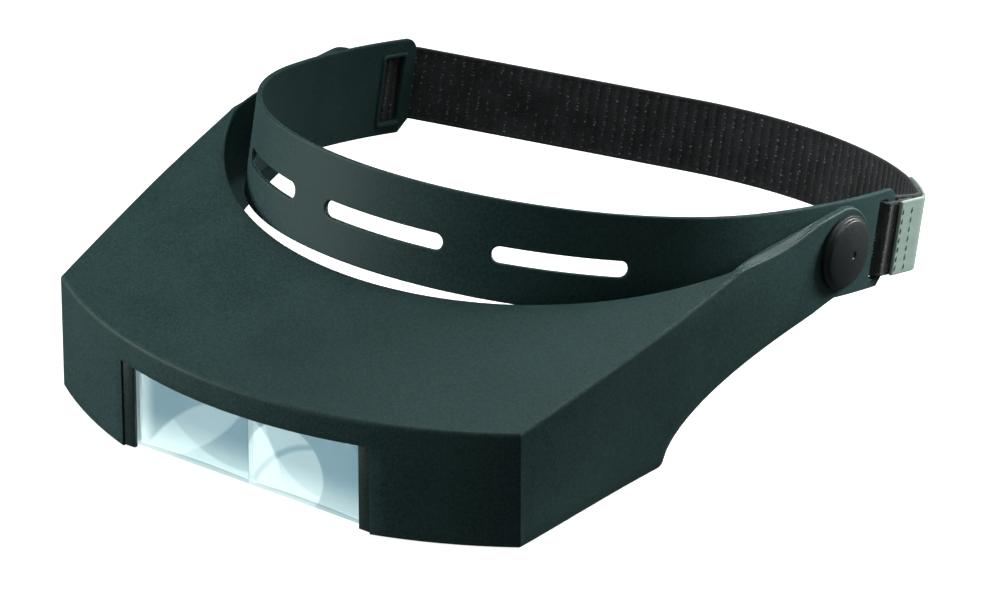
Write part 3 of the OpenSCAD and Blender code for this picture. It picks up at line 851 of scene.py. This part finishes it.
# ---------------------------------------------------------------- pivots
for side, name in ((1, "left"), (-1, "right")):
    # Turned profile as (radius, x) from the dimple outwards, then back under the head and along the stem
    profile = [(0.0, 108.68), (1.0, 108.68), (1.25, 109.02), (1.45, 109.06), (1.75, 109.04), (2.1, 109.04)]
    profile += [(r, 107.55 + 1.5 * (1 - (r / 10.6) ** 2)) for r in (3.5, 5, 6.5, 8, 9.3, 10.2)]
    flags = [0, 0, 0.3, 1, 0.6, 0, 0, 0, 0, 0, 0, 0]
    for a in range(0, 91, 30):
        profile.append((10.45 + 0.35 * sin(radians(a)), 107.2 + 0.35 * cos(radians(a))))
        flags.append(0.8)
    profile += [(10.85, 106.85), (11.0, 106.45), (11.25, 106.25), (11.75, 106.2), (11.95, 106.05)]
    profile += [(12.0, 105.8), (12.0, 105.0), (11.9, 104.78), (11.7, 104.7), (2.5, 104.7), (2.5, 100.2)]
    profile += [(2.2, 99.95), (0.0, 99.95)]
    flags += [0.3, 0.0, 0.0, 0.7, 1.0, 0.5, 0.0, 0.3, 0.0, 0.0, 0.0, 0.0, 0.0]
    # Drawn for a head of radius 12; the dimple and the stem keep their size
    profile = [(r * CAP_R / 12 if r > 3 else r, x) for r, x in profile]
    cap = lathe("pivot_cap_" + name + "_disc", profile, side, 120, marks=flags, closed=False)
    bmesh_close(cap)
    smooth(cap, 40)
    dress(cap, cap_mat, "headband", "cap_plastic", "pivot_cap_" + name)
    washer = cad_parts["friction_washer_" + name]
    washer.data.materials.clear()
    washer.data.materials.append(washer_mat)


# ---------------------------------------------------------------- lens guides
def prism(name, outline, z0, z1, bevel):
    """An upright bar between two heights, with its sharp edges rounded."""
    n = len(outline)
    points = [(x, y, z0) for x, y in outline] + [(x, y, z1) for x, y in outline]
    faces = [tuple(range(n)), tuple(range(n, 2 * n))]
    faces += [(k, (k + 1) % n, n + (k + 1) % n, n + k) for k in range(n)]
    obj = make(name, points, faces)
    bm = bmesh.new()
    bm.from_mesh(obj.data)
    sharp = [e for e in bm.edges if e.calc_face_angle(0) > radians(25)]
    round_edges(bm, sharp, bevel)
    bm.to_mesh(obj.data)
    bm.free()
    return obj


for side, name in ((1, "left"), (-1, "right")):
    # Plan of the groove and its back, shared by the stretch beside the window and the one above it
    channel = [(45.0, -19.2), (46.25, -19.2), (46.25, -16.8), (45.3, -16.8), (45.3, -15.2), (55.5, -15.2)]
    channel += [(55.5, -16.25), (52.6, -17.35)]
    low = channel + [(49.6, -18.4), (49.3, -18.65), (49.3, -20.7), (45.0, -20.7)]
    high = channel + [(49.3, -18.55), (46.6, -19.45), (45.0, -19.9)]
    parts = []
    for outline, z0, z1 in ((low, 0.5, 30.28), (high, 30.0, 35.5)):
        pts = [(side * x, y) for x, y in outline]
        parts.append(prism("guide", pts if side > 0 else pts[::-1], z0, z1, 0.18))
    guide, other = parts
    boolean(guide, other, "UNION")
    guide.name = "guide_" + name
    smooth(guide, 50)
    dress(guide, guide_mat, "visor", "shell_plastic", "lens_guide_" + name)


# ---------------------------------------------------------------- lenses
def build_lens(side):
    """One lens: flat in front, domed behind about a centre set towards the nose, thin at its outer flange."""
    y0, z0, z1, c, rad = -19.0, 1.0, 35.0, 0.3, 125.0

    def rear(x, z):
        y = y0 + 6.4 - rad + sqrt(rad * rad - (x - 20) ** 2 - (z - 18) ** 2)
        return min(y, y0 + 2.0) if x > 44.7 else y

    xs = [0.05, 0.12] + [0.3 + 1.7 * i for i in range(1, 26)] + [43.8, 44.68, 44.72, 45.2, 45.7, 46.0]
    zs = [z1 - c - (z1 - z0 - 2 * c) * i / 28 for i in range(29)]
    rows = []
    for x in xs:
        edge = c if x == xs[-1] else 0.06 if x == xs[0] else 0.0
        ring = [(y0 + c, z0 + edge * 0.5), (y0 + edge, z0 + c), (y0 + edge, z1 - c)]
        ring += [(y0 + c, z1 - edge * 0.5), (rear(x, z1) - c, z1 - edge * 0.5)]
        ring += [(rear(x, z) - edge, z) for z in zs]
        ring += [(rear(x, z0) - c, z0 + edge * 0.5)]
        rows.append([(side * x, y, z) for y, z in ring])
    n = len(rows[0])
    points = [p for r in rows for p in r]
    faces = [(i * n + j, i * n + (j + 1) % n, (i + 1) * n + (j + 1) % n, (i + 1) * n + j)
             for i in range(len(rows) - 1) for j in range(n)]
    faces += [tuple(range(n)), tuple(len(points) - n + j for j in range(n))]
    return make("lens_half_" + ("left" if side > 0 else "right"), points, faces, angle=30)


for side, name in ((1, "left"), (-1, "right")):
    dress(build_lens(side), lens_mat, "lens_pair", "lens", "lens_" + name)


# ---------------------------------------------------------------- strap
def smoothed(path, step, sigma):
    """A path resampled at step and softened at its corners, with its ends kept."""
    p = np.array(path, float)
    d = np.concatenate([[0], np.cumsum(np.hypot(*np.diff(p, axis=0).T))])
    fine = np.arange(0, d[-1], 0.1)
    q = np.stack([np.interp(fine, d, p[:, k]) for k in (0, 1)], 1)
    pad = int(4 * sigma / 0.1)
    kernel = np.exp(-0.5 * (np.arange(-pad, pad + 1) * 0.1 / sigma) ** 2)
    kernel /= kernel.sum()
    head = 2 * q[0] - q[pad:0:-1]
    tail = 2 * q[-1] - q[-2:-pad - 2:-1]
    wide = np.concatenate([head, q, tail])
    q = np.stack([np.convolve(wide[:, k], kernel, "valid") for k in (0, 1)], 1)
    d = np.concatenate([[0], np.cumsum(np.hypot(*np.diff(q, axis=0).T))])
    at = np.linspace(0, d[-1], max(3, round(d[-1] / step)) + 1)
    return np.stack([np.interp(at, d, q[:, k]) for k in (0, 1)], 1), at


def ribbon(name, path, thick, width, step, across, relief, sigma, angle=60):
    """A flat strap standing on edge along path; relief(u, v) raises its two faces, in mm."""
    centre, along = smoothed(path, step, sigma)
    tangent = np.gradient(centre, axis=0)
    tangent /= np.linalg.norm(tangent, axis=1)[:, None]
    normal = np.stack([-tangent[:, 1], tangent[:, 0]], 1)
    half, r = width / 2, 0.42 * thick
    n = max(2, round((width - 2 * r) / across))
    vs = [-half + r + (width - 2 * r) * i / n for i in range(n + 1)]
    ring = [(v, 1.0, True) for v in vs]
    ring += [(half - r + r * sin(a), cos(a), False) for a in (pi / 4, pi / 2, 3 * pi / 4)]
    ring += [(v, -1.0, True) for v in reversed(vs)]
    ring += [(-half + r - r * sin(a), -cos(a), False) for a in (pi / 4, pi / 2, 3 * pi / 4)]
    points, marks, vectors = [], [], []
    m = len(ring)
    for i, u in enumerate(along):
        taper = min(1.0, 0.35 + u / 0.5, 0.35 + (along[-1] - u) / 0.5)
        for v, d, face in ring:
            lift, crest = relief(u, v) if face else (0.0, 0.15)
            off = (d * thick / 2 * taper) + (1 if d > 0 else -1) * lift * taper
            x, y = centre[i] + normal[i] * off
            points.append(band_point(x, y, v))
            marks.append(crest)
            vectors.append((u, v + (60 if d < 0 else 0), 0.0))
    faces = [(i * m + j, i * m + (j + 1) % m, (i + 1) * m + (j + 1) % m, (i + 1) * m + j)
             for i in range(len(along) - 1) for j in range(m)]
    faces += [tuple(range(m)), tuple(len(points) - m + j for j in range(m))]
    return make(name, points, faces, angle=angle, marks=marks, vectors=vectors), along[-1]


RIB_PITCH, KNOT_PITCH, SELVAGE = 3.4, 1.08, 0.6


def rib_relief(u, v):
    """Height and crest of the ribs across the strap: rows of small knots, flat along both selvages."""
    row = round(2 * u / RIB_PITCH)
    rib = max(0.0, cos(2 * pi * u / RIB_PITCH)) ** 0.8
    knot = 0.5 + 0.5 * cos(2 * pi * (v / KNOT_PITCH + 0.5 * (row // 2 % 2)))
    flat = min(1.0, max(0.0, (WEB_W / 2 - SELVAGE - abs(v)) / 0.8))
    return flat * (-0.30 + 0.20 * rib + 0.12 * rib * knot), flat * rib * (0.45 + 0.55 * knot)


def tape_relief(_, v):
    """Height and crest of the tape, whose selvages stand a little proud."""
    edge = min(1.0, max(0.0, (abs(v) - 11.4) / 0.5))
    return 0.03 * edge - 0.03, edge


# From the hem outside the right opening round the back, then out through the left opening and back
turn = (100.45 - 96.0) / 2
webbing_path = [(-101.1, 35.5), (-101.0, 40), (-100.75, 44), (-100.5, 47.5)]
webbing_path += [(-100.45, 53.4), (-99.95, 54.8), (-98.55, 55.9)]
webbing_path += arc_points(BACK_C, BACK_R, 113.5, 40, 48)
webbing_path += [(98.6, 67.6), (99.0, 66.2), (98.8, 64.8), (96.0, 54.4)]
webbing_path += arc_points((100.45 - turn, 47.3), turn, 180, 360, 16) + [(100.45, 60)]
webbing, webbing_length = ribbon("webbing", webbing_path, 1.6, WEB_W, 0.33, 0.27, rib_relief, 0.7)
dress(webbing, woven(), "headband", "webbing", "strap_webbing")

tape_path = [(101.95, 51.6), (101.95, 64.6), (101.45, 66.4)]
tape_path += arc_points(BACK_C, 93.5, 38.8, 51.3, 12)
tape, tape_length = ribbon("tape", tape_path, 1.2, WEB_W, 0.5, 0.5, tape_relief, 0.7)
dress(tape, satin(), "headband", "hook_tape", "hook_tape")


def stitches(name, rows, x, face, nodes, mat):
    """Rows of thread capsules standing half proud of the cloth at x; rows gives the y of each row."""
    half, sides, pitch = 1.12, 10, 3.2
    rings = [(-half, 0.02), (-1.02, 0.16), (-0.8, 0.25), (-0.3, 0.29), (0.3, 0.29), (0.8, 0.25), (1.02, 0.16)]
    rings.append((half, 0.02))
    points, faces = [], []
    for y in rows:
        for i in range(-3, 4):
            at = len(points)
            for h, r in rings:
                for k in range(sides):
                    a = 2 * pi * k / sides
                    out = x - face * 0.16 * (h / half) ** 2 + 0.75 * r * cos(a)
                    points.append(band_point(out, y + r * sin(a) + 0.08 * h, i * pitch - 0.6 + h))
            for j in range(at, at + (len(rings) - 1) * sides, sides):
                faces += [(j + k, j + (k + 1) % sides, j + sides + (k + 1) % sides, j + sides + k)
                          for k in range(sides)]
            last = at + (len(rings) - 1) * sides
            faces += [tuple(range(at, at + sides)), tuple(range(last, last + sides))]
    obj = make(name, points, faces, angle=80)
    dress(obj, mat, "headband", "thread", nodes)


stitches("tape_stitches", (53.2, 58.4), 102.62, 1, "seam_stitches",
         thread("tape_thread", (0.21, 0.34, 0.28), (0.30, 0.45, 0.38)))
stitches("hem_thread_row", (41.2,), -99.95, 1, "hem_stitches",
         thread("dark_thread", (0.012, 0.014, 0.015), (0.05, 0.055, 0.055)))

# ---------------------------------------------------------------- studio
floor_mat, floor_tree, floor_shader = material("floor_paper")
paper = noise(floor_tree, node(floor_tree, "ShaderNodeTexCoord").outputs["Object"], 30, 3, 0.5)
floor_colour = mix(floor_tree, paper, (0.86, 0.865, 0.87), (0.89, 0.89, 0.89))
floor_tree.links.new(floor_colour, floor_shader.inputs["Base Color"])
floor_shader.inputs["Roughness"].default_value = 0.9
floor_shader.inputs["Specular IOR Level"].default_value = 0.1
floor_shader.inputs["Emission Color"].default_value = (1.0, 1.0, 1.0, 1.0)
floor_shader.inputs["Emission Strength"].default_value = 0.88
floor_mesh = bpy.data.meshes.new("floor")
floor_corners = [(x * 12, y * 12, -0.0003) for x, y in ((-1, -1), (1, -1), (1, 1), (-1, 1))]
floor_mesh.from_pydata(floor_corners, [], [(0, 1, 2, 3)])
floor_mesh.materials.append(floor_mat)
floor = bpy.data.objects.new("floor", floor_mesh)
bpy.context.scene.collection.objects.link(floor)
# The floor throws no light back onto the object, as with black cards round it
floor.visible_diffuse = False
floor.visible_glossy = False

world = bpy.data.worlds.new("studio")
bpy.context.scene.world = world
world.use_nodes = True
world.node_tree.nodes["Background"].inputs[0].default_value = (0.96, 0.98, 1.0, 1.0)
world.node_tree.nodes["Background"].inputs[1].default_value = 0.10


def softbox(name, at, aim, size, power, spread=180):
    """A rectangular lamp at a point, turned to aim."""
    light = bpy.data.lights.new(name, "AREA")
    light.shape, light.size, light.size_y = "RECTANGLE", size[0], size[1]
    light.energy, light.spread = power, radians(spread)
    obj = bpy.data.objects.new(name, light)
    obj.location = at
    obj.rotation_euler = (Vector(aim) - Vector(at)).to_track_quat("-Z", "Y").to_euler()
    bpy.context.scene.collection.objects.link(obj)


softbox("key", (-0.92, -0.68, 0.26), (0, 0, 0.04), (0.7, 0.5), 9.8)
softbox("overhead", (0.0, 0.14, 0.9), (0.0, 0, 0.04), (0.6, 0.6), 3.9)
softbox("side", (0.27, 0.42, 0.22), (0.11, 0.02, 0.03), (0.2, 0.2), 0.32, 44)

# From the front on the wearer's left, aimed at the middle between the visor's front corners
azimuth, elevation = radians(37.0), radians(26.38)
distance, across, above = 2.1867, 0.0673, 0.0147
right = Vector((cos(azimuth), sin(azimuth), 0))
back = Vector((sin(azimuth) * cos(elevation), -cos(azimuth) * cos(elevation), sin(elevation)))
up = back.cross(right)
front_edge = Vector((0, -MID / 1000, WALL_H / 1000))
spot = front_edge + distance * back + across * right + above * up
camera_data = bpy.data.cameras.new("camera")
camera_data.lens, camera_data.sensor_width = 251.4, 36.0
camera_data.clip_start, camera_data.clip_end = 0.05, 40
camera = bpy.data.objects.new("camera", camera_data)
camera.matrix_world = Matrix.Translation(spot) @ Matrix((right, up, back)).transposed().to_4x4()
bpy.context.scene.collection.objects.link(camera)
bpy.context.scene.camera = camera
bpy.context.scene.view_settings.view_transform = "Standard"

bpy.context.view_layer.update()
print("webbing", round(webbing_length, 1), "mm long, tape", round(tape_length, 1), "mm long")
